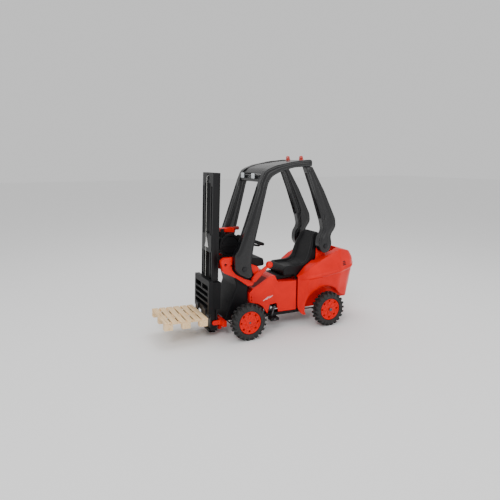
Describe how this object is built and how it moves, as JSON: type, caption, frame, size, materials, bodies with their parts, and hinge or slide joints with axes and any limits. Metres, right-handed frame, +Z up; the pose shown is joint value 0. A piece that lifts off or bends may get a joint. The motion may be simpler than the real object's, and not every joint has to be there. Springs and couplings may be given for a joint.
{
  "type": "ride-on pedal forklift",
  "caption": "Child's ride-on pedal forklift: red and black shells, roof guard, steered front wheels, chain drive, tilting mast with rope-lifted forks and a toy pallet.",
  "frame": {"origin": "on the floor, at the middle of the whole object's footprint", "axes": "+Z up, -Y forwards towards the forks, +X to the vehicle's left"},
  "size_m": [0.46, 1.2618, 1.0042],
  "materials": {
    "red_plastic": "glossy moulded red plastic",
    "black_plastic": "fine-textured black plastic",
    "guard_plastic": "satin black plastic",
    "mast_plastic": "satin black plastic",
    "seat_plastic": "grained black plastic",
    "tyre_rubber": "moulded plastic tread",
    "steel": "zinc plated",
    "frame_paint": "black powder coat",
    "fork_paint": "black paint",
    "lamp_lens": "pale moulded lamp",
    "beacon_lens": "red moulded lamp",
    "rope": "braided cord",
    "grip_plastic": "dark red grip",
    "pallet_wood": "plain pale wood"
  },
  "bodies": {
    "vehicle": {"chassis_frame": "frame_paint", "front_cross_beam": "red_plastic", "front_cowl": "black_plastic", "dash_console": "black_plastic", "dash_cheek_left": "red_plastic", "dash_cheek_right": "red_plastic", "body_shell": "red_plastic", "rear_hood": "red_plastic", "chain_guard": "black_plastic", "seat_rail": "black_plastic", "guard_rail_left": "guard_plastic", "guard_rail_right": "guard_plastic", "rear_pillar_left": "guard_plastic", "rear_pillar_right": "guard_plastic", "roof_panel": "guard_plastic", "roof_crossbar": "guard_plastic", "front_bolt_left": "frame_paint", "front_bolt_right": "frame_paint", "rear_bolt_left": "frame_paint", "rear_bolt_right": "frame_paint", "beacon_left": "beacon_lens", "beacon_right": "beacon_lens", "headlight_left": "lamp_lens", "headlight_right": "lamp_lens", "drive_chain": "steel"},
    "steering": {"steering_wheel": "black_plastic", "steering_column": "steel"},
    "knuckle_left": {"steering_knuckle_left": "steel"},
    "knuckle_right": {"steering_knuckle_right": "steel"},
    "front_wheel_left": {"tyre_front_left": "tyre_rubber", "rim_front_left": "red_plastic"},
    "front_wheel_right": {"tyre_front_right": "tyre_rubber", "rim_front_right": "red_plastic"},
    "tie_rod": {"tie_rod": "steel"},
    "rear_axle": {"rear_axle": "steel", "rear_sprocket": "steel", "tyre_rear_left": "tyre_rubber", "rim_rear_left": "red_plastic", "tyre_rear_right": "tyre_rubber", "rim_rear_right": "red_plastic"},
    "crank": {"pedal_crank": "steel", "chainwheel": "steel"},
    "pedal_left": {"pedal_left": "black_plastic"},
    "pedal_right": {"pedal_right": "black_plastic"},
    "mast": {"mast_frame": "mast_plastic", "mast_cover": "mast_plastic", "mast_foot": "black_plastic", "lift_rope_front": "rope", "lift_rope_back": "rope", "winch_housing": "black_plastic"},
    "top_pulley": {"top_pulley": "steel"},
    "winch_drum": {"winch_drum": "black_plastic"},
    "winch_lever": {"winch_lever": "red_plastic", "winch_grip": "grip_plastic"},
    "carriage": {"fork_carriage": "black_plastic", "fork_left": "fork_paint", "fork_right": "fork_paint"},
    "pallet": {"pallet": "pallet_wood"},
    "tilt_lever": {"tilt_lever": "red_plastic"},
    "seat": {"seat_shell": "seat_plastic"}
  },
  "joints": [
    {"name": "steering_turn", "type": "hinge", "parent": "vehicle", "child": "steering", "pos_m": [0, -0.0678, 0.521], "axis": [0, 0.342, 0.9397], "range_deg": [-45, 45]},
    {"name": "knuckle_left_turn", "type": "hinge", "parent": "vehicle", "child": "knuckle_left", "pos_m": [0.146, -0.1758, 0.1035], "axis": [0, 0, 1], "range_deg": [-20, 20]},
    {"name": "knuckle_right_turn", "type": "hinge", "parent": "vehicle", "child": "knuckle_right", "pos_m": [-0.146, -0.1758, 0.1035], "axis": [0, 0, 1], "range_deg": [-20, 20]},
    {"name": "tie_rod_shift", "type": "slide", "parent": "vehicle", "child": "tie_rod", "axis": [1, 0, 0], "range_m": [-0.018, 0.018]},
    {"name": "front_wheel_left_spin", "type": "hinge", "parent": "knuckle_left", "child": "front_wheel_left", "pos_m": [0.198, -0.1758, 0.1035], "axis": [1, 0, 0], "continuous": true},
    {"name": "front_wheel_right_spin", "type": "hinge", "parent": "knuckle_right", "child": "front_wheel_right", "pos_m": [-0.198, -0.1758, 0.1035], "axis": [1, 0, 0], "continuous": true},
    {"name": "rear_axle_spin", "type": "hinge", "parent": "vehicle", "child": "rear_axle", "pos_m": [0, 0.3542, 0.1035], "axis": [1, 0, 0], "continuous": true},
    {"name": "crank_spin", "type": "hinge", "parent": "vehicle", "child": "crank", "pos_m": [0, 0.0242, 0.14], "axis": [1, 0, 0], "continuous": true},
    {"name": "pedal_left_spin", "type": "hinge", "parent": "crank", "child": "pedal_left", "pos_m": [0.155, 0.0043, 0.08128], "axis": [1, 0, 0], "continuous": true},
    {"name": "pedal_right_spin", "type": "hinge", "parent": "crank", "child": "pedal_right", "pos_m": [-0.155, 0.0441, 0.19872], "axis": [1, 0, 0], "continuous": true},
    {"name": "mast_tilt", "type": "hinge", "parent": "vehicle", "child": "mast", "pos_m": [0, -0.3348, 0.085], "axis": [1, 0, 0], "range_deg": [0, 5]},
    {"name": "tilt_lever_swing", "type": "hinge", "parent": "vehicle", "child": "tilt_lever", "pos_m": [0.136, -0.1178, 0.322], "axis": [1, 0, 0], "range_deg": [0, 30]},
    {"name": "carriage_lift", "type": "slide", "parent": "mast", "child": "carriage", "axis": [0, 0.0384, 0.9993], "range_m": [0, 0.5], "deforming": ["lift_rope_front"]},
    {"name": "pulley_spin", "type": "hinge", "parent": "mast", "child": "top_pulley", "pos_m": [0, -0.31808, 0.88495], "axis": [1, 0, 0], "range_deg": [-2400, 0]},
    {"name": "drum_spin", "type": "hinge", "parent": "mast", "child": "winch_drum", "pos_m": [0, -0.21837, 0.51084], "axis": [1, 0, 0], "range_deg": [0, 900]},
    {"name": "winch_lever_swing", "type": "hinge", "parent": "mast", "child": "winch_lever", "pos_m": [0, -0.25519, 0.59432], "axis": [1, 0, 0], "range_deg": [0, 45]},
    {"name": "pallet_slide", "type": "slide", "parent": "carriage", "child": "pallet", "axis": [0, -0.9993, 0.0384], "range_m": [0, 0.25]},
    {"name": "seat_adjust", "type": "slide", "parent": "vehicle", "child": "seat", "axis": [0, 1, 0], "range_m": [0, 0.03]}
  ],
  "couplings": [
    {"joint": "knuckle_left_turn", "follows": "steering_turn", "ratio": 0.4},
    {"joint": "knuckle_right_turn", "follows": "steering_turn", "ratio": 0.4},
    {"joint": "tie_rod_shift", "follows": "steering_turn", "m_per_rad": 0.02},
    {"joint": "crank_spin", "follows": "rear_axle_spin", "ratio": 0.59091},
    {"joint": "tilt_lever_swing", "follows": "mast_tilt", "ratio": 6},
    {"joint": "pulley_spin", "follows": "carriage_lift", "rad_per_m": -80},
    {"joint": "drum_spin", "follows": "carriage_lift", "rad_per_m": 31}
  ]
}
